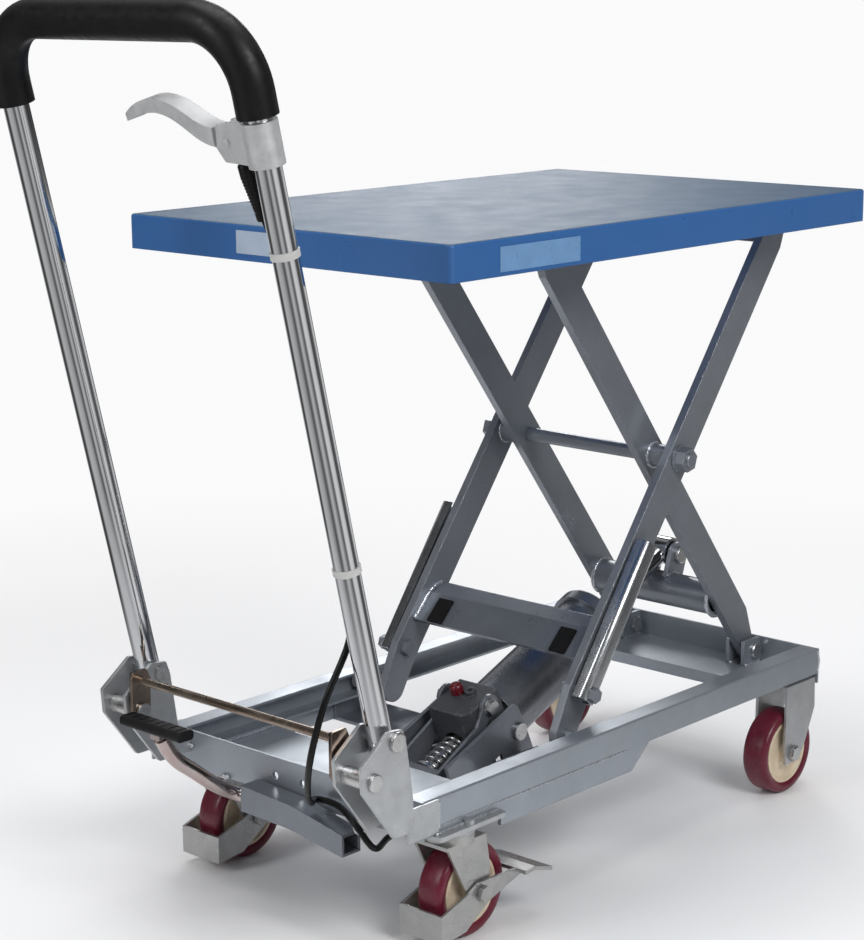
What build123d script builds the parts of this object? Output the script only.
from build123d import *
import os
from math import sin, cos, radians, hypot

# Mobile scissor lift table, 700 x 450 mm deck, raised position.
# Millimetres, +Z up, floor at Z = 0, +X to the front (away from the push handle),
# +Y to the left.  The frame origin is on the floor at the centre of the outline.
# Positions are written from the table centre, TABLE_X ahead of the origin, and
# side views are tables of (x, z).  Spans are given as start, end.

# ================================================================ dimensions
TABLE_X = 110.9
SIDES = (("left", 1), ("right", -1))    # name and sign of y

TABLE_LENGTH, TABLE_WIDTH = 700.0, 450.0
TABLE_TOP = 712.0
TABLE_SHEET = 3.0
SKIRT = 36.0
TABLE_UNDERSIDE = TABLE_TOP - TABLE_SHEET

# Base frame
BASE_BACK, BASE_FRONT = -350.0, 340.0   # ends of the side channels
BASE_HALF = 186.0                       # half width over the side channels
LIP_HALF = 162.0                        # half width between the channel lips
CHANNEL_LOW, CHANNEL_TOP = 136.0, 166.0
CHANNEL_SHEET = 3.0

# Nominal radii.  Shanks are drawn slightly under them, running holes slightly over.
BOLT_R = 6.0            # general bolts
SHANK_R = BOLT_R - 0.03
BORE_R = BOLT_R + 0.03
PIN_R = 7.0             # fixed lower arm pivots and cylinder foot pin
SHAFT_R = 8.0           # centre shaft of the scissors
AXLE_R = 5.0            # wheel axles

# Scissor arms, all at the same angle
ARM_ANGLE = radians(54.1)
ARM_COS, ARM_SIN = cos(ARM_ANGLE), sin(ARM_ANGLE)
ARM_FRONT_X = 328.0     # fixed pivots, below on the inner arms, above on the outer
ARM_LOW_Z, ARM_TOP_Z = 151.0, 695.2
ARM_LENGTH = (ARM_TOP_Z - ARM_LOW_Z) / ARM_SIN
ARM_BACK_X = ARM_FRONT_X - ARM_LENGTH * ARM_COS     # roller position
ARM_WIDTH = 38.0
ARM_T = 10.0
ARM_KINK = 6.5          # sideways set of the bar between its bent ends
ARM_BEND = 48.0         # pivot to bend, along the arm
INNER_Y, OUTER_Y = 86.0, 122.0          # inner faces of the two arm pairs
LOW_PIVOT = (ARM_FRONT_X, ARM_LOW_Z)
TOP_PIVOT = (ARM_FRONT_X, ARM_TOP_Z)
LOW_ROLLER = (ARM_BACK_X, ARM_LOW_Z)
TOP_ROLLER = (ARM_BACK_X, ARM_TOP_Z)
CENTRE_PIVOT = (ARM_FRONT_X - ARM_LENGTH / 2 * ARM_COS, ARM_LOW_Z + ARM_LENGTH / 2 * ARM_SIN)
LOW_ROLLER_R, TOP_ROLLER_R = 11.7, 13.5
PROP_BOLT = (-46.0, 195.0)              # safety bar bolt

# Lift cylinder
FOOT_PIN = (-46.5, 131.6)
CYLINDER_ANGLE = radians(22.451)
CYLINDER_AXIS = (cos(CYLINDER_ANGLE), 0, sin(CYLINDER_ANGLE))
EYE_DISTANCE = 356.728  # foot pin to rod eye
ROD_R = 11.0
CLEVIS_PIN = (287.0, 264.0)
TORSION_TUBE = (273.0, 224.0)
TORSION_R = 20.0

# Pump unit, on a slope
PUMP_ANGLE = radians(21.9)
PUMP_AXIS = (cos(PUMP_ANGLE), 0, sin(PUMP_ANGLE))
PUMP_UP = (-sin(PUMP_ANGLE), 0, cos(PUMP_ANGLE))
PUMP_Z = 150.1          # height of the pump axis at the table centre
PLUNGER_UP = 5.0        # plunger axis above the pump axis
VALVE_Y, VALVE_UP = -19, -6

# Handle
HINGE = (-393.0, 240.0)
HANDLE_LEAN = radians(13.3)             # towards the back
LEAN_COS, LEAN_SIN = cos(HANDLE_LEAN), sin(HANDLE_LEAN)
HANDLE_HALF = 168.0     # half spacing of the legs
HANDLE_LENGTH = 694.7   # hinge to centre of the top bar
HANDLE_BEND = 62
HANDLE_TUBE_R = 12.5
LATCH_PIN = (-424.0, 207.0)

# Wheels
WHEEL_R = 50.0
WHEEL_WIDTH = 32.0
SWIVEL_X, CASTER_Y = -290.0, 163.0      # swivel axis
CASTER_AXLE = (-272.0, WHEEL_R)
FRONT_Y = 165.0
FRONT_AXLE = (290.0, WHEEL_R)


# ================================================================ helpers
def save(builder, name):
    builder.part.label = name
    export_step(builder.part, f"parts/{name}.step")


def place(x, y, z):
    """Frame position of a point written from the table centre."""
    return (TABLE_X + x, y, z)


def at_x(x):
    return Plane(origin=place(x, 0, 0), x_dir=(0, 1, 0), z_dir=(1, 0, 0))


def at_y(y):
    return Plane(origin=place(0, y, 0), x_dir=(1, 0, 0), z_dir=(0, -1, 0))


def at_z(z):
    return Plane(origin=place(0, 0, z))


def prism(plane, points, depth, mode=Mode.ADD, corner=0):
    with BuildSketch(plane) as profile:
        Polygon(*points, align=None)
        if corner:
            fillet(profile.vertices(), corner)
    extrude(profile.sketch, amount=depth, mode=mode)


def disc(plane, centre, radius, depth, mode=Mode.ADD):
    with BuildSketch(plane) as profile:
        with Locations(centre):
            Circle(radius)
    extrude(profile.sketch, amount=depth, mode=mode)


def hexagon(plane, centre, across, depth, mode=Mode.ADD, rotation=0):
    with BuildSketch(plane) as profile:
        with Locations(centre):
            RegularPolygon(across / 2, 6, major_radius=False, rotation=rotation)
    extrude(profile.sketch, amount=depth, mode=mode)


def slab_x(points, x0, x1, mode=Mode.ADD):
    prism(at_x(x0), points, x1 - x0, mode)


def slab_y(points, y0, y1, mode=Mode.ADD, corner=0):
    prism(at_y(max(y0, y1)), points, abs(y1 - y0), mode, corner)


def slab_z(points, z0, z1, mode=Mode.ADD, corner=0):
    prism(at_z(z0), points, z1 - z0, mode, corner)


def box(x0, x1, y0, y1, z0, z1, mode=Mode.ADD):
    low, high = min(y0, y1), max(y0, y1)
    slab_z([(x0, low), (x1, low), (x1, high), (x0, high)], z0, z1, mode)


def round_x(centre, radius, x0, x1, mode=Mode.ADD):
    disc(at_x(x0), centre, radius, x1 - x0, mode)


def round_y(centre, radius, y0, y1, mode=Mode.ADD):
    disc(at_y(max(y0, y1)), centre, radius, abs(y1 - y0), mode)


def round_z(centre, radius, z0, z1, mode=Mode.ADD):
    disc(at_z(z0), centre, radius, z1 - z0, mode)


def hex_y(centre, across, y0, y1):
    hexagon(at_y(max(y0, y1)), centre, across, abs(y1 - y0), rotation=12)


# Pump unit: "along" runs up its sloping axis, "up" is square to it.
def pump_point(along, up):
    """(x, z) of a point of the pump unit."""
    return (along * PUMP_AXIS[0] + up * PUMP_UP[0],
            PUMP_Z + along * PUMP_AXIS[2] + up * PUMP_UP[2])


def pump_section(along, up=0, y=0):
    """Plane square to the pump axis."""
    x, z = pump_point(along, up)
    return Plane(origin=place(x, y, z), x_dir=(0, 1, 0), z_dir=PUMP_AXIS)


def pump_level(up, along=0, y=0):
    """Plane parallel to the pump axis, facing up."""
    x, z = pump_point(along, up)
    return Plane(origin=place(x, y, z), x_dir=PUMP_AXIS, z_dir=PUMP_UP)


def round_along(y, up, radius, start, end, mode=Mode.ADD):
    disc(pump_section(start, up, y), (0, 0), radius, end - start, mode)


def round_up(along, y, radius, low, high, mode=Mode.ADD):
    disc(pump_level(low, along, y), (0, 0), radius, high - low, mode)


ALONG_PUMP = Axis((0, 0, 0), PUMP_AXIS)
UP_PUMP = Axis((0, 0, 0), PUMP_UP)
YOKE = pump_point(-66, 41)              # foot lever pivot

os.makedirs("parts", exist_ok=True)

# ================================================================ base frame
# Side channels: C sections opening inwards, with a deeper plate under the back half.
CHANNEL_WEB = BASE_HALF - CHANNEL_SHEET
CHANNEL_SECTION = [     # (y, z) of the left one
    (LIP_HALF, CHANNEL_LOW), (BASE_HALF, CHANNEL_LOW),
    (BASE_HALF, CHANNEL_TOP), (LIP_HALF, CHANNEL_TOP),
    (LIP_HALF, CHANNEL_TOP - CHANNEL_SHEET), (CHANNEL_WEB, CHANNEL_TOP - CHANNEL_SHEET),
    (CHANNEL_WEB, CHANNEL_LOW + CHANNEL_SHEET), (LIP_HALF, CHANNEL_LOW + CHANNEL_SHEET),
]
DEEP_PLATE = [
    (BASE_BACK, 128), (-236, 128), (-236, 110), (-20, 110),
    (11, CHANNEL_LOW), (BASE_BACK, CHANNEL_LOW),
]
for side, sign in SIDES:
    with BuildPart() as channel:
        slab_x([(sign * y, z) for y, z in CHANNEL_SECTION], BASE_BACK, BASE_FRONT)
        slab_y(DEEP_PLATE, sign * (BASE_HALF - 4), sign * BASE_HALF)
        # round the upper outer corner
        fillet(channel.edges().filter_by(Axis.X).filter_by(
            lambda e: abs(e.center().Y - sign * BASE_HALF) < 0.1
            and abs(e.center().Z - CHANNEL_TOP) < 0.1), 2.0)
    save(channel, f"side_channel_{side}")

# Front cross member: closing plate, and a wide foot that carries the arm pivots.
FOOT_BACK = 258
with BuildPart() as front_cross_member:
    box(BASE_FRONT, BASE_FRONT + 3, -BASE_HALF, BASE_HALF, 124, CHANNEL_TOP)
    box(FOOT_BACK, BASE_FRONT, -180, 180, CHANNEL_LOW - 3, CHANNEL_LOW)
    box(FOOT_BACK, FOOT_BACK + 3, -140, 140, 122, CHANNEL_LOW - 3)
save(front_cross_member, "front_cross_member")

# Four bracket plates that hold the fixed lower arm pivots.
PIVOT_PLATE = [
    (306, CHANNEL_LOW), (BASE_FRONT, CHANNEL_LOW),
    (BASE_FRONT, CHANNEL_TOP), (306, CHANNEL_TOP),
]
with BuildPart() as pivot_brackets:
    slab_y(PIVOT_PLATE, 99.5, 104.5, corner=2.5)
    slab_y(PIVOT_PLATE, 77.5, 82.5, corner=2.5)
    round_y(LOW_PIVOT, PIN_R, 70, 110, Mode.SUBTRACT)
    mirror(about=Plane.XZ)
save(pivot_brackets, "pivot_brackets")

with BuildPart() as pivot_pins:
    round_y(LOW_PIVOT, PIN_R - 0.02, 73, 104.5)
    round_y(LOW_PIVOT, 9.5, 104.5, 108.5)
    hex_y(LOW_PIVOT, 17, 72, 77.3)
    chamfer(pivot_pins.faces().sort_by(Axis.Y)[-1].edges(), 1.0)
    mirror(about=Plane.XZ)
save(pivot_pins, "pivot_pins")

# Low deck plate at the handle end, upturned sides between the channel lips; (y, z).
DECK_INSIDE = LIP_HALF - 3
DECK_SECTION = [
    (-LIP_HALF, 128), (LIP_HALF, 128), (LIP_HALF, 139), (DECK_INSIDE, 139),
    (DECK_INSIDE, 131), (-DECK_INSIDE, 131), (-DECK_INSIDE, 139), (-LIP_HALF, 139),
]
with BuildPart() as deck_plate:
    slab_x(DECK_SECTION, BASE_BACK, -212)
save(deck_plate, "deck_plate")

# Back closing plate with two round holes.
with BuildPart() as end_plate:
    box(BASE_BACK - 3, BASE_BACK, -BASE_HALF, BASE_HALF, 126, CHANNEL_TOP)
    for y in (-20, 20):
        round_x((y, 146), 4, BASE_BACK - 4, BASE_BACK + 1, Mode.SUBTRACT)
save(end_plate, "end_plate")

# Fixed front wheel forks, bent from plate.
FORK_SHEET = 3.5
FORK_TOP = 133
FORK_INNER, FORK_OUTER = FRONT_Y - 22, FRONT_Y + 22
FORK = [
    (277, FORK_TOP), (334, FORK_TOP), (335, 97), (316, 58),
    (303, 38), (277, 38), (274, 60), (276, 92),
]
with BuildPart() as front_forks:
    slab_y(FORK, FORK_OUTER - FORK_SHEET, FORK_OUTER)
    slab_y(FORK, FORK_INNER, FORK_INNER + FORK_SHEET)
    box(277, 334, FORK_INNER, FORK_OUTER, FORK_TOP - FORK_SHEET, FORK_TOP)
    round_y(FRONT_AXLE, AXLE_R, 140, 190, Mode.SUBTRACT)
    mirror(about=Plane.XZ)
save(front_forks, "front_forks")

with BuildPart() as front_axles:
    round_y(FRONT_AXLE, AXLE_R - 0.03, 138, 187.2)
    hex_y(FRONT_AXLE, 17, 187.2, 193.5)
    hex_y(FRONT_AXLE, 17, 135, 142.8)
    chamfer(front_axles.faces().sort_by(Axis.Y)[-1].edges(), 1.2)
    mirror(about=Plane.XZ)
save(front_axles, "front_axles")

# Caster mounting plates with the upper swivel race and a fixing bolt.
CASTER_PLATE = [(-338, 126), (-238, 126), (-238, 196), (-338, 196)]     # (x, y)
PLATE_LOW, PLATE_TOP = 123, 128
with BuildPart() as caster_plates:
    slab_z(CASTER_PLATE, PLATE_LOW, PLATE_TOP, corner=4)
    round_z((SWIVEL_X, CASTER_Y), 28, 117, PLATE_LOW)
    hexagon(at_z(PLATE_TOP), (SWIVEL_X, 190.6), 9, 5)
    round_z((SWIVEL_X, CASTER_Y), BOLT_R, 116, PLATE_TOP + 1, Mode.SUBTRACT)
    mirror(about=Plane.XZ)
save(caster_plates, "caster_plates")

# ================================================================ handle mounts
# Each handle leg sits between two fin shaped plates with a tab to the front.
FIN = [
    (-404, 252), (-384, 250), (-379, 236), (-370, 176),
    (-370, 143), (-397, 143), (-439, 199), (-441, 225),
]
with BuildPart() as handle_brackets:
    slab_y(FIN, BASE_HALF, BASE_HALF + 4, corner=3)
    box(-375, -332, BASE_HALF, BASE_HALF + 3, 131, 165)
    slab_y(FIN, 150, 154, corner=3)
    box(-376, -353, 150, 154, 143, 166)
    for centre in (HINGE, LATCH_PIN):
        round_y(centre, BOLT_R, 145, 195, Mode.SUBTRACT)
    mirror(about=Plane.XZ)
save(handle_brackets, "handle_brackets")

with BuildPart() as latch_pins:
    round_y(LATCH_PIN, SHANK_R, 140, 190.2)
    round_y(LATCH_PIN, 9.5, 154.2, 185.8)
    round_y(LATCH_PIN, 9, 190.2, 193.5)
    round_y(LATCH_PIN, 8.5, 139, 142.6)
    fillet(latch_pins.faces().sort_by(Axis.Y)[-1].edges(), 1.2)
    mirror(about=Plane.XZ)
save(latch_pins, "latch_pins")

# Bolts held by the frame: handle hinges, foot lever pivot, cylinder foot pin.
with BuildPart() as chassis_bolts:
    round_y(HINGE, SHANK_R, 148, 190.2)
    round_y(HINGE, 10, 190.2, 194.5)
    fillet(chassis_bolts.faces().sort_by(Axis.Y)[-1].edges(), 1.8)
    hex_y(HINGE, 15, 144.5, 149.8)
    mirror(about=Plane.XZ)
    round_y(YOKE, SHANK_R, -39.5, 39.5)
    for sign in (-1, 1):
        hex_y(YOKE, 15, sign * 34.5, sign * 39.5)
        round_y(YOKE, 10, sign * 33.2, sign * 34.6)
    round_y(FOOT_PIN, PIN_R - 0.02, -52, 52)
    for sign in (-1, 1):
        round_y(FOOT_PIN, 10, sign * 49.2, sign * 53)
save(chassis_bolts, "chassis_bolts")

# ================================================================ foot pump
# Dropped U across the frame, with two side plates that carry pump and cylinder.
CRADLE_SECTION = [      # (y, z)
    (182, 134), (182, 110), (66, 110), (58, 80), (-58, 80), (-66, 110), (-182, 110), (-182, 134),
    (-178, 134), (-178, 114), (-63, 114), (-55, 84), (55, 84), (63, 114), (178, 114), (178, 134),
]
PUMP_PLATE = [
    (-165, 119), (-53, 164), (-48, 161), (-30, 125), (-17, 95),
    (-14, 83), (-118, 83), (-120, 97.5), (-152, 85.5),
]
PLATE_CUTOUT = [(-95.7, 104.7), (-75.5, 113.2), (-70.5, 101.5)]
with BuildPart() as pump_support:
    slab_x(CRADLE_SECTION, -106, -32)
    for y0, y1 in ((44, 49), (-49, -44)):
        slab_y(PUMP_PLATE, y0, y1)
        slab_y(PLATE_CUTOUT, y0, y1, Mode.SUBTRACT)
        round_y(FOOT_PIN, PIN_R, y0, y1, Mode.SUBTRACT)
save(pump_support, "pump_support")

# Pump body; the outline is in (along, up).
BLOCK_BACK, BLOCK_TOP = -100, 50
BLOCK = [(BLOCK_BACK, -16), (-68, -16), (-68, 20), (-43, 20), (-43, BLOCK_TOP),
         (BLOCK_BACK, BLOCK_TOP)]
FILLER_ALONG, FILLER_Y = -66, 12
with BuildPart() as pump_block:
    slab_y([pump_point(along, up) for along, up in BLOCK], -28, 28)
    # bevel on the back right corner, (along, y)
    prism(pump_level(-17), [(-101, -18), (-101, -29), (-90, -29)], 68, Mode.SUBTRACT)
    chamfer(pump_block.faces().sort_by(UP_PUMP)[-1].edges(), 1.6)
    # foot down to the cradle
    slab_y([pump_point(BLOCK_BACK, -16), (-81, 84), (-56, 84), pump_point(-68, -16)], -24, 24)
    round_y(YOKE, BOLT_R, -32, 32, Mode.SUBTRACT)
    # bores for spring, plunger and release valve
    round_along(0, PLUNGER_UP, 15.8, -102, -86, Mode.SUBTRACT)
    round_along(0, PLUNGER_UP, 10.05, -90, -60, Mode.SUBTRACT)
    round_along(VALVE_Y, VALVE_UP, 4.03, -102, -88, Mode.SUBTRACT)
    # socket plug beside the filler
    round_up(-62, -4, 6, BLOCK_TOP, BLOCK_TOP + 4)
    hexagon(pump_level(BLOCK_TOP + 1, -62, -4), (0, 0), 6, 4, Mode.SUBTRACT)
    round_up(FILLER_ALONG, FILLER_Y, 5.0, 47.4, BLOCK_TOP + 1, Mode.SUBTRACT)
save(pump_block, "pump_block")

with BuildPart() as filler_cap:
    round_up(FILLER_ALONG, FILLER_Y, 4.95, 47.6, 50.1)
    round_up(FILLER_ALONG, FILLER_Y, 7.5, 50.1, 62)
    fillet(filler_cap.faces().sort_by(UP_PUMP)[-1].edges(), 4.5)
save(filler_cap, "filler_cap")

# Release valve on the back of the pump body, with its small arm.
VALVE_BACK = -106
with BuildPart() as valve_lever:
    round_along(VALVE_Y, VALVE_UP, 4.0, VALVE_BACK, -90)
    round_along(VALVE_Y, VALVE_UP, 6.0, VALVE_BACK, -100.4)
    with BuildSketch(pump_section(VALVE_BACK)):
        Polygon((-24, -6), (-14, -6), (-16, -22), (-22, -22), align=None)
    extrude(amount=3)
save(valve_lever, "valve_lever")

# Foot lever: two link plates on the pump, a cross plate that pushes the plunger,
# an arm under the deck and a cross tube whose left end takes the pedal bar.
LINK = [(-77, 46), (-93, 31), (-168, 22), (-168, -8), (-118, -2), (-73, 28.5), (-66, 34)]
PUSH_PLATE = [(-160, 22), (-168, 22), (-168, -8), (-160, -8)]           # both (along, up)
UNDER_ARM = [(-158, 106), (-157, 84), (-358, 101), (-358, 122)]
CROSS_TUBE = [(42, 138), (-30, 134), (-104, 120), (-104, 97), (-30, 108), (42, 110)]    # (y, z)
CROSS_HOLLOW = [(-16, 130), (-110, 116), (-110, 99), (-16, 113)]        # (y, z)
BAR_X, BAR_Z = -369, 121                # straight end of the pedal bar
with BuildPart() as pedal_lever:
    for y0, y1 in ((29, 33), (-33, -29)):
        slab_y([pump_point(along, up) for along, up in LINK], y0, y1)
        round_y(YOKE, 14, y0, y1)
    slab_y([pump_point(along, up) for along, up in PUSH_PLATE], -33, 33)
    slab_y(UNDER_ARM, -12, 12)
    slab_x(CROSS_TUBE, BAR_X - 13, BAR_X + 13)
    slab_x(CROSS_HOLLOW, BAR_X - 10, BAR_X + 10, Mode.SUBTRACT)
    round_y((BAR_X, BAR_Z), 8.0, 12, 50, Mode.SUBTRACT)
    round_y(YOKE, BOLT_R + 0.04, -50, 50, Mode.SUBTRACT)
save(pedal_lever, "pedal_lever")

# Pedal bar: straight through the cross tube, then curving back and up; (x, y, z).
BAR_PATH = [
    (BAR_X, 14, BAR_Z), (BAR_X, 44, BAR_Z), (-392, 62, 134), (-424, 70, 160), (-457, 76, 200),
]
with BuildPart() as pedal_bar:
    with BuildLine():
        Polyline(*[place(*point) for point in BAR_PATH[:2]])
        Spline(*[place(*point) for point in BAR_PATH[1:]],
               tangents=[(0, 1, 0), (-0.45, 0.05, 0.9)])
    with BuildSketch(Plane(origin=place(*BAR_PATH[0]), z_dir=(0, 1, 0))):
        Circle(7.95)
    sweep()
    box(-465, -451, 70, 84, 200, 206)
save(pedal_bar, "pedal_bar")

# Grooved foot pad.
GROOVES, GROOVE_PITCH, GROOVE_WIDTH = 8, 11, 3
with BuildPart() as pedal_pad:
    box(-470, -448, 36, 126, 206, 217)
    fillet(pedal_pad.edges().filter_by(Axis.Y), 4.5)
    fillet(pedal_pad.faces().filter_by(Axis.Y).edges(), 1.5)
    for groove in range(GROOVES):
        y = 42 + GROOVE_PITCH * groove
        box(-466, -452, y, y + GROOVE_WIDTH, 216.4, 218, Mode.SUBTRACT)
save(pedal_pad, "pedal_pad")

# Plunger with rounded tail and spring collar.
with BuildPart() as plunger:
    round_along(0, PLUNGER_UP, 10.0, -159.6, -80)
    fillet(plunger.faces().sort_by(ALONG_PUMP)[0].edges(), 3.5)
    round_along(0, PLUNGER_UP, 16.0, -156, -152)
save(plunger, "plunger")

SPRING_X, SPRING_Z = pump_point(-150.2, PLUNGER_UP)
with BuildPart() as plunger_spring:
    with BuildLine() as coil:
        Helix(pitch=9.0, height=50.0, radius=13.3,
              center=place(SPRING_X, 0, SPRING_Z), direction=PUMP_AXIS)
    with BuildSketch(Plane(origin=coil.line @ 0, z_dir=coil.line % 0)):
        Circle(1.7)
    sweep(is_frenet=True)
save(plunger_spring, "plunger_spring")


# ================================================================ lift cylinder
def cylinder_point(distance):
    """(x, z) on the cylinder axis, by distance from the foot pin."""
    return (FOOT_PIN[0] + distance * CYLINDER_AXIS[0], FOOT_PIN[1] + distance * CYLINDER_AXIS[2])


def cylinder_section(distance):
    x, z = cylinder_point(distance)
    return Plane(origin=place(x, 0, z), x_dir=(0, 1, 0), z_dir=CYLINDER_AXIS)


def barrel(radius, start, end, bore=0, mode=Mode.ADD):
    with BuildSketch(cylinder_section(start)) as ring:
        Circle(radius)
        if bore:
            Circle(bore, mode=Mode.SUBTRACT)
    extrude(ring.sketch, amount=end - start, mode=mode)


BARREL_FLOOR, BARREL_END = 18, 188
TANK_R = 38
PRESSURE_R, PRESSURE_BORE = 23, 18
with BuildPart() as reservoir_tube:
    round_y(FOOT_PIN, 12.5, -15, 15)
    with BuildSketch(cylinder_section(0)):
        Rectangle(30, 25)
    extrude(amount=14)
    barrel(TANK_R, 12, BARREL_FLOOR)
    barrel(TANK_R, BARREL_FLOOR, BARREL_END, bore=TANK_R - 3)
    round_y(FOOT_PIN, PIN_R + 0.05, -16, 16, Mode.SUBTRACT)
save(reservoir_tube, "reservoir_tube")

with BuildPart() as inner_cylinder:
    barrel(PRESSURE_R, BARREL_FLOOR, BARREL_END, bore=PRESSURE_BORE)
save(inner_cylinder, "inner_cylinder")

GLAND_END = BARREL_END + 18
with BuildPart() as gland_cap:
    barrel(43, BARREL_END, GLAND_END)
    up_cylinder = Axis(place(FOOT_PIN[0], 0, FOOT_PIN[1]), CYLINDER_AXIS)
    fillet(gland_cap.edges().sort_by(up_cylinder)[-1], 4)
    barrel(TANK_R - 3.1, 181, BARREL_END, bore=PRESSURE_R + 0.1)
    barrel(19.5, GLAND_END, GLAND_END + 4)
    barrel(ROD_R + 0.05, 177, 214, mode=Mode.SUBTRACT)
save(gland_cap, "gland_cap")

ROD_EYE = cylinder_point(EYE_DISTANCE)
with BuildPart() as piston_rod:
    barrel(ROD_R, 150, EYE_DISTANCE - 12)
    barrel(PRESSURE_BORE - 0.05, 134, 150)
    round_y(ROD_EYE, 16.6, -12, 12)
    round_y(ROD_EYE, 11.8, -13, 13, Mode.SUBTRACT)
save(piston_rod, "piston_rod")


# ================================================================ scissor arms
def arm(plane, foot_radius):
    """Flat bar, its ends bent towards the vertical; plane x runs up the arm."""
    half = ARM_WIDTH / 2
    head_radius = TOP_ROLLER_R - 1
    upper_bend = ARM_LENGTH - ARM_BEND
    with BuildSketch(plane) as bar:
        Polygon((0, foot_radius), (ARM_BEND, ARM_KINK + half), (upper_bend, -ARM_KINK + half),
                (ARM_LENGTH, head_radius), (ARM_LENGTH, -head_radius),
                (upper_bend, -ARM_KINK - half), (ARM_BEND, ARM_KINK - half),
                (0, -foot_radius), align=None)
        Circle(foot_radius)
        with Locations((ARM_LENGTH, 0)):
            Circle(head_radius)
    extrude(bar.sketch, amount=ARM_T)


# Inner arms, with the stub axles of the upper rollers.
INNER_FACE = INNER_Y + ARM_T
for side, sign in SIDES:
    with BuildPart() as inner_arm:
        y = min(sign * INNER_Y, sign * INNER_FACE)
        arm(Plane(origin=place(ARM_FRONT_X, y, ARM_LOW_Z),
                  x_dir=(-ARM_COS, 0, ARM_SIN), z_dir=(0, 1, 0)), 11.0)
        round_y(TOP_ROLLER, SHANK_R, sign * INNER_FACE, sign * 116.8)
        round_y(LOW_PIVOT, PIN_R + 0.03, sign * 80, sign * 100, Mode.SUBTRACT)
        round_y(CENTRE_PIVOT, SHAFT_R, sign * 80, sign * 100, Mode.SUBTRACT)
    save(inner_arm, f"inner_arm_{side}")

with BuildPart() as torsion_tube:
    round_y(TORSION_TUBE, TORSION_R, -INNER_Y, INNER_Y)
    round_y(TORSION_TUBE, TORSION_R - 4, -INNER_Y, INNER_Y, Mode.SUBTRACT)
save(torsion_tube, "torsion_tube")

# Clevis ears from the torsion tube up to the rod eye.
EAR_R = 16
tube_x, tube_z = TORSION_TUBE
pin_x, pin_z = CLEVIS_PIN
ear_length = hypot(pin_x - tube_x, pin_z - tube_z)
ear_dx = EAR_R * (pin_z - tube_z) / ear_length      # half width, square to the ear
ear_dz = EAR_R * (pin_x - tube_x) / ear_length
with BuildPart() as clevis_ears:
    slab_y([(tube_x - ear_dx, tube_z + ear_dz), (pin_x - ear_dx, pin_z + ear_dz),
            (pin_x + ear_dx, pin_z - ear_dz), (tube_x + ear_dx, tube_z - ear_dz)], 14, 20)
    round_y(CLEVIS_PIN, EAR_R, 14, 20)
    round_y(TORSION_TUBE, TORSION_R, 10, 25, Mode.SUBTRACT)
    round_y(CLEVIS_PIN, BOLT_R, 10, 25, Mode.SUBTRACT)
    mirror(about=Plane.XZ)
save(clevis_ears, "clevis_ears")

with BuildPart() as clevis_pin:
    round_y(CLEVIS_PIN, SHANK_R, -20, 25)
    round_y(CLEVIS_PIN, 10, -25, -20.1)
    round_y(CLEVIS_PIN, 9, 20.3, 22)
    fillet(clevis_pin.faces().sort_by(Axis.Y)[0].edges(), 1.5)
save(clevis_pin, "clevis_pin")

# Centre shaft: thin through rod, distance bushes, washers and nuts.
with BuildPart() as centre_shaft:
    round_y(CENTRE_PIVOT, SHAFT_R - 0.02, 0, 150)
    round_y(CENTRE_PIVOT, 13, INNER_FACE, OUTER_Y - 0.2)
    round_y(CENTRE_PIVOT, 15, 132.2, 134.6)
    hex_y(CENTRE_PIVOT, 24, 134.6, 147)
    chamfer(centre_shaft.faces().sort_by(Axis.Y)[-1].edges(), 1.0)
    mirror(about=Plane.XZ)
save(centre_shaft, "centre_shaft")

# Outer arms, with the stub axles of the lower rollers and the safety bar bolts.
OUTER_FACE = OUTER_Y + ARM_T
for side, sign in SIDES:
    with BuildPart() as outer_arm:
        y = max(sign * OUTER_Y, sign * OUTER_FACE)
        arm(Plane(origin=place(ARM_BACK_X, y, ARM_LOW_Z),
                  x_dir=(ARM_COS, 0, ARM_SIN), z_dir=(0, -1, 0)), 17.0)
        round_y(LOW_ROLLER, SHANK_R, sign * OUTER_FACE, sign * 181)
        round_y(PROP_BOLT, SHANK_R, sign * OUTER_FACE, sign * 153)
        round_y(PROP_BOLT, 8.8, sign * OUTER_FACE, sign * 149)
        hex_y(PROP_BOLT, 15, sign * 152.3, sign * 158.5)
        hex_y(PROP_BOLT, 17, sign * 114, sign * OUTER_Y)
        round_y(CENTRE_PIVOT, SHAFT_R + 0.04, sign * 115, sign * 140, Mode.SUBTRACT)
        round_y(TOP_PIVOT, BORE_R, sign * 115, sign * 140, Mode.SUBTRACT)
    save(outer_arm, f"outer_arm_{side}")

# Bent plate that ties the outer arms together, and its two rubber buffers.
CROSSBAR = [(-32, 226), (-4, 253), (16, 261), (18, 256.4), (-1.6, 248.6), (-28.5, 222.4)]
BUFFER = [(-31.3, 226.7), (-9.0, 248.2), (-11.4, 250.7), (-33.7, 229.2)]
with BuildPart() as crossbar:
    slab_y(CROSSBAR, -OUTER_Y, OUTER_Y)
save(crossbar, "crossbar")

with BuildPart() as buffer_pads:
    slab_y(BUFFER, 80, 100.5)
    mirror(about=Plane.XZ)
save(buffer_pads, "buffer_pads")

# Round rod between the outer arms at their upper bend, 4 mm below the pivot line.
TOP_ROD = (ARM_BACK_X + (ARM_LENGTH - ARM_BEND) * ARM_COS + 4 * ARM_SIN,
           ARM_LOW_Z + (ARM_LENGTH - ARM_BEND) * ARM_SIN - 4 * ARM_COS)
with BuildPart() as top_rod:
    round_y(TOP_ROD, 6, -OUTER_Y, OUTER_Y)
save(top_rod, "top_rod")

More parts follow.
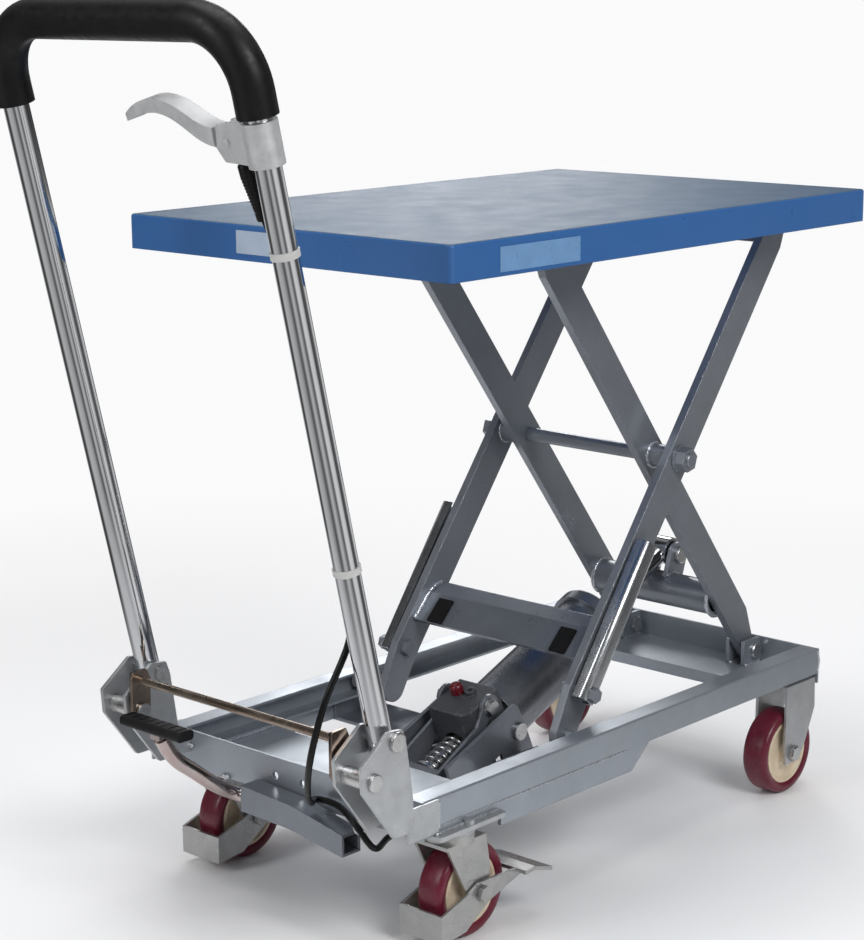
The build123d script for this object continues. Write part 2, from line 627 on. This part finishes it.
# Track rollers: lower ones in the side channels, upper ones under the table.
ROLLERS = (             # level, centre, radius, inner and outer y
    ("lower", LOW_ROLLER, LOW_ROLLER_R, 156, 179),
    ("upper", TOP_ROLLER, TOP_ROLLER_R, 98.5, 116),
)
for level, centre, radius, y0, y1 in ROLLERS:
    for side, sign in SIDES:
        with BuildPart() as roller:
            round_y(centre, radius, sign * y0, sign * y1)
            round_y(centre, BORE_R, sign * y0, sign * y1, Mode.SUBTRACT)
        save(roller, f"roller_{level}_{side}")

# Maintenance props: channels bolted to the outer arms, closed side outwards.
PROP_BACK, PROP_LENGTH = -9, 180        # ends, along the arm from the bolt
PROP_STRIPS = (         # web and two flanges: across the channel, then y
    (-12, 12, 149.4, 152),
    (-12, -9.4, 136, 152),
    (9.4, 12, 136, 152),
)
PROP_PLANE = Plane(origin=place(PROP_BOLT[0], 0, PROP_BOLT[1]),
                   x_dir=(ARM_COS, 0, ARM_SIN), z_dir=(0, -1, 0))
for side, sign in SIDES:
    with BuildPart() as safety_bar:
        for low, high, y0, y1 in PROP_STRIPS:
            prism(PROP_PLANE.offset(-max(sign * y0, sign * y1)),
                  [(PROP_BACK, low), (PROP_LENGTH, low), (PROP_LENGTH, high), (PROP_BACK, high)],
                  y1 - y0)
        round_y(PROP_BOLT, BORE_R, sign * 148, sign * 153, Mode.SUBTRACT)
    save(safety_bar, f"safety_bar_{side}")

# ================================================================ table
with BuildPart() as table_tray:
    box(-TABLE_LENGTH / 2, TABLE_LENGTH / 2, -TABLE_WIDTH / 2, TABLE_WIDTH / 2,
        TABLE_TOP - SKIRT, TABLE_TOP)
    fillet(table_tray.edges().filter_by(Axis.Z), 5)
    fillet(table_tray.faces().sort_by(Axis.Z)[-1].edges(), 3)
    with BuildSketch(at_z(TABLE_TOP - SKIRT)):
        RectangleRounded(TABLE_LENGTH - 2 * TABLE_SHEET, TABLE_WIDTH - 2 * TABLE_SHEET, 2)
    extrude(amount=SKIRT - TABLE_SHEET, mode=Mode.SUBTRACT)
save(table_tray, "table_tray")

# Roller tracks, fixed pivot brackets and their pins under the table.
TRACK_SECTION = [       # (y, z)
    (98, 679), (120, 679), (120, TABLE_UNDERSIDE),
    (117.5, TABLE_UNDERSIDE), (117.5, 681.5), (98, 681.5),
]
with BuildPart() as table_rails:
    slab_x(TRACK_SECTION, -343, 12)
    for y in (113, 135):
        box(ARM_FRONT_X - 16, ARM_FRONT_X + 16, y, y + 6, 681, TABLE_UNDERSIDE)
    round_y(TOP_PIVOT, SHANK_R, 111, 143)
    round_y(TOP_PIVOT, 9, 143, 146)
    mirror(about=Plane.XZ)
save(table_rails, "table_rails")

# ================================================================ handle
# Handle plane: x to the left, y up the handle from the hinge, facing forwards.
HANDLE_PLANE = Plane(origin=place(HINGE[0], 0, HINGE[1]),
                     x_dir=(0, 1, 0), z_dir=(LEAN_COS, 0, LEAN_SIN))


def handle_point(y, height, front=0.0):
    """Frame point by y, distance up the handle, and distance in front of it."""
    return place(HINGE[0] - height * LEAN_SIN + front * LEAN_COS, y,
                 HINGE[1] + height * LEAN_COS + front * LEAN_SIN)


def leg_section(height):
    """Plane across the right leg, facing up it."""
    return Plane(origin=handle_point(-HANDLE_HALF, height),
                 x_dir=(0, 1, 0), z_dir=(-LEAN_SIN, 0, LEAN_COS))


def hoop_corners(start):
    """Corners of the handle centre line, both legs beginning at start."""
    return [(-HANDLE_HALF, start), (-HANDLE_HALF, HANDLE_LENGTH),
            (HANDLE_HALF, HANDLE_LENGTH), (HANDLE_HALF, start)]


LEG_START, GRIP_START = -18, 612
GRIP_BORE = HANDLE_TUBE_R + 0.02
with BuildPart() as handle_tube:
    with BuildLine(HANDLE_PLANE):
        FilletPolyline(*hoop_corners(LEG_START), radius=HANDLE_BEND)
    with BuildSketch(leg_section(LEG_START)):
        Circle(HANDLE_TUBE_R)
        Circle(HANDLE_TUBE_R - 2, mode=Mode.SUBTRACT)
    sweep()
    round_y(HINGE, BOLT_R + 0.02, -190, 190, Mode.SUBTRACT)
save(handle_tube, "handle_tube")

with BuildPart() as handle_grip:
    with BuildLine(HANDLE_PLANE):
        FilletPolyline(*hoop_corners(GRIP_START), radius=HANDLE_BEND)
    with BuildSketch(leg_section(GRIP_START)):
        Circle(19)
        Circle(GRIP_BORE, mode=Mode.SUBTRACT)
    sweep()
save(handle_grip, "handle_grip")

# Clamp on the right leg with two cheeks and the hand lever pin.  Handle plane points.
LEVER_PIVOT = (-134.0, 590.0)
CHEEK = [(-160, 570), (-128, 572), (-120, 584), (-124, 606), (-160, 608)]
CHEEK_TIE = [(-160, 606), (-140, 606), (-140, 608.5), (-160, 608.5)]
CHEEK_INSIDE, CHEEK_OUTSIDE = 7, 11.5
with BuildPart() as lever_bracket:
    disc(leg_section(568), (0, 0), 16.5, 40)
    for start in (CHEEK_INSIDE, -CHEEK_OUTSIDE):
        prism(HANDLE_PLANE.offset(start), CHEEK, CHEEK_OUTSIDE - CHEEK_INSIDE, corner=3)
    prism(HANDLE_PLANE.offset(-CHEEK_OUTSIDE), CHEEK_TIE, 2 * CHEEK_OUTSIDE)
    disc(HANDLE_PLANE.offset(-13), LEVER_PIVOT, 4, 26)
    disc(leg_section(560), (0, 0), GRIP_BORE, 60, Mode.SUBTRACT)
save(lever_bracket, "lever_bracket")

# Hand lever: solid root on the pin, and a curved blade hollowed along its middle.
LEVER_ROOT = [(-147, 584), (-140, 579), (-112, 583), (-108, 600), (-128, 604), (-145, 600)]
LEVER_BLADE = (         # half thickness, upper edge, lower edge, mode
    (10,
     [(-116, 602), (-98, 607), (-72, 620), (-44, 626), (-18, 620), (-4, 611)],
     [(-116, 585), (-94, 592), (-70, 606), (-44, 613), (-20, 609), (-5, 604)],
     Mode.ADD),
    (7,
     [(-110, 599), (-96, 603.5), (-71, 616), (-44, 622), (-20, 616.5)],
     [(-110, 580), (-92, 586), (-69, 601), (-44, 607), (-20, 603)],
     Mode.SUBTRACT),
)
with BuildPart() as hand_lever:
    with BuildSketch(HANDLE_PLANE.offset(-6.4)) as root:
        Polygon(*LEVER_ROOT, align=None)
        fillet(root.vertices(), 3)
        with Locations(LEVER_PIVOT):
            Circle(4.05, mode=Mode.SUBTRACT)
    extrude(amount=12.8)
    for half, upper_points, lower_points, mode in LEVER_BLADE:
        with BuildSketch(HANDLE_PLANE.offset(-half)):
            with BuildLine():
                upper = Spline(*upper_points)
                lower = Spline(*lower_points)
                Line(upper @ 0, lower @ 0)
                Line(upper @ 1, lower @ 1)
            make_face()
        extrude(amount=2 * half, mode=mode)
save(hand_lever, "hand_lever")

# Release cable: boot and upper run fixed to the handle, lower run on the frame.
CABLE_R = 3.5
UPPER_RUN = [           # (y, height, front) on the handle
    (-140, 566, 0), (-142, 530, 3), (-151, 470, 12), (-160, 416, 15),
    (-162, 300, 17), (-160, 165, 15), (-152, 120, 8), (-148, 96, 2),
]
BOOT_DIRECTION = (LEAN_SIN, -0.05, -LEAN_COS)
with BuildPart() as cable_upper:
    with BuildLine() as run:
        Spline(*[handle_point(*point) for point in UPPER_RUN])
    with BuildSketch(Plane(origin=run.line @ 0, z_dir=run.line % 0)):
        Circle(CABLE_R)
    sweep()
    # tapered boot at the top end
    with BuildSketch(Plane(origin=handle_point(-140.1, 563, 0), z_dir=BOOT_DIRECTION)):
        Circle(8)
    with BuildSketch(Plane(origin=handle_point(-142.2, 522, 3.6), z_dir=BOOT_DIRECTION)):
        Circle(5)
    loft()
save(cable_upper, "cable_upper")

LOWER_RUN = [           # (x, y, z)
    (-416, -146, 328), (-440, -142, 280), (-448, -130, 226), (-428, -104, 180),
    (-392, -72, 150), (-364, -52, 141), (-366, -84, 142), (-374, -116, 132),
    (-366, -132, 110), (-330, -118, 107), (-270, -100, 106), (-190, -80, 92),
    (-148, -54, 84), (-134, -45.5, 84.5), (-121, -40.2, 86.3), (-108, -38.4, 88.3),
    (-98, -37, 89.6), (-91, -31.6, 91),
]
with BuildPart() as cable_lower:
    with BuildLine() as run:
        Spline(*[place(*point) for point in LOWER_RUN])
    with BuildSketch(Plane(origin=run.line @ 0, z_dir=run.line % 0)):
        Circle(CABLE_R)
    sweep()
save(cable_lower, "cable_lower")

# Latch: two hook plates on the latch pins joined by the release rod.
HOOK = [
    (-437, 250), (-417, 251), (-412, 240), (-413, 205),
    (-420, 196), (-430, 196), (-437, 206),
]
with BuildPart() as latch:
    slab_y(HOOK, 143, 147, corner=3)
    round_y(LATCH_PIN, BORE_R, 140, 150, Mode.SUBTRACT)
    mirror(about=Plane.XZ)
    round_y((-427, 241), 4.5, -143.5, 143.5)
save(latch, "latch")


# ================================================================ wheels
def wheel(x, y):
    rim = WHEEL_WIDTH / 2
    # (radius, y) of the half section, from one end of the hub to the other
    outline = [
        (5.05, -18.2), (13, -18.2), (13, -12), (33, -12), (37, -15), (44, -rim),
        (48, -rim + 1.5), (WHEEL_R, -rim + 5), (WHEEL_R, rim - 5), (48, rim - 1.5),
        (44, rim), (37, 15), (33, 12), (13, 12), (13, 18.2), (5.05, 18.2),
    ]
    centre = place(x, y, WHEEL_R)
    with BuildSketch(Plane(origin=centre, x_dir=(1, 0, 0), z_dir=(0, 0, 1))) as half:
        with BuildLine():
            Polyline(*outline, close=True)
        make_face()
    revolve(half.sketch, axis=Axis(centre, (0, 1, 0)))


for kind, x, y in (("front", FRONT_AXLE[0], FRONT_Y), ("caster", CASTER_AXLE[0], CASTER_Y)):
    for side, sign in SIDES:
        with BuildPart() as rolling_wheel:
            wheel(x, sign * y)
        save(rolling_wheel, f"{kind}_wheel_{side}")

# Swivel forks with kingpin and wheel axle.
FORK_LEG = [
    (-318, 109), (-260, 109), (-254, 72), (-256, 44),
    (-265, 36), (-281, 38), (-296, 66),
]
for side, sign in SIDES:
    y = sign * CASTER_Y
    with BuildPart() as caster_fork:
        for y0, y1 in ((20.5, 24), (-24, -20.5)):
            slab_y(FORK_LEG, y + y0, y + y1, corner=2)
        box(-318, -260, y - 24, y + 24, 105, 109)
        round_z((SWIVEL_X, y), 27, 105, 116.5)
        round_z((SWIVEL_X, y), BOLT_R - 0.05, 116.5, 127.5)
        round_y(CASTER_AXLE, AXLE_R - 0.02, y - 29.8, y + 29.8)
        hex_y(CASTER_AXLE, 15, y + 29.8, y + 35)
        hex_y(CASTER_AXLE, 15, y - 35, y - 29.8)
    save(caster_fork, f"caster_fork_{side}")

# Wheel brakes: side plates joined behind the wheel, foot tab to the front.
BRAKE_SIDE = [
    (-332, 12), (-332, 42), (-290, 55), (-276, 62), (-262, 62),
    (-210, 60), (-210, 54), (-262, 38), (-296, 16),
]
BRAKE_TAB = [(-218, 56), (-204, 57), (-176, 49), (-176, 53), (-203, 61), (-218, 60)]
for side, sign in SIDES:
    y = sign * CASTER_Y
    with BuildPart() as caster_brake:
        for y0, y1 in ((26, 29), (-29, -26)):
            slab_y(BRAKE_SIDE, y + y0, y + y1, corner=1.5)
        box(-332, -329, y - 29, y + 29, 12, 42)
        # the tab reaches further on the outer side
        slab_y(BRAKE_TAB, y + sign * 41, y - sign * 29)
        round_y(CASTER_AXLE, AXLE_R + 0.03, y - 30, y + 30, Mode.SUBTRACT)
    save(caster_brake, f"caster_brake_{side}")
